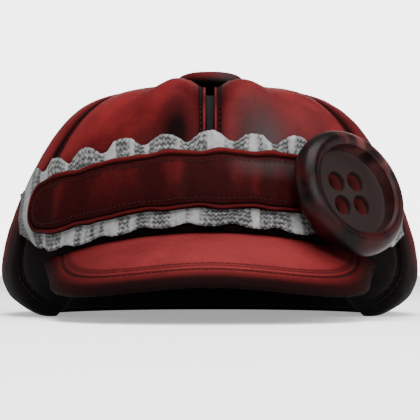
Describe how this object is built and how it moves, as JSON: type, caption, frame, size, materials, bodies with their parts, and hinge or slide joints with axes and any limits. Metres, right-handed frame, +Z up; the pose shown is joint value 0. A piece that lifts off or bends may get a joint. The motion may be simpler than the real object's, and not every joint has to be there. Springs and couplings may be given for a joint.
{
  "type": "six-panel leather kepi cap",
  "caption": "Soft puffed leather kepi cap with a short curved peak, a ruffled lace band, a gathered strap pinned by a large four-hole button, and a covered top button.",
  "frame": {"origin": "middle of the cap's footprint, on the surface that it stands on", "axes": "+Z up, the peak points to -Y, +X is to the viewer's right when the viewer faces the peak"},
  "size_m": [0.224, 0.314, 0.1313],
  "materials": {
    "crown_leather": "burnished, darker towards the seams and the hem",
    "peak_leather": "burnished, with stitched rows along the edge",
    "strap_leather": "soft sheen",
    "lining_cloth": "matt",
    "headband_cloth": "matt",
    "lace": "open knit with dark gaps",
    "button_plastic": "soft gloss"
  },
  "bodies": {
    "root": {"panel_front_right": "crown_leather", "panel_side_right": "crown_leather", "panel_back_right": "crown_leather", "panel_back_left": "crown_leather", "panel_side_left": "crown_leather", "panel_front_left": "crown_leather", "lining": "lining_cloth", "headband": "headband_cloth", "lace_ruffle": "lace", "strap": "strap_leather", "side_button": "button_plastic", "top_button": "crown_leather", "peak": "peak_leather"}
  },
  "joints": []
}
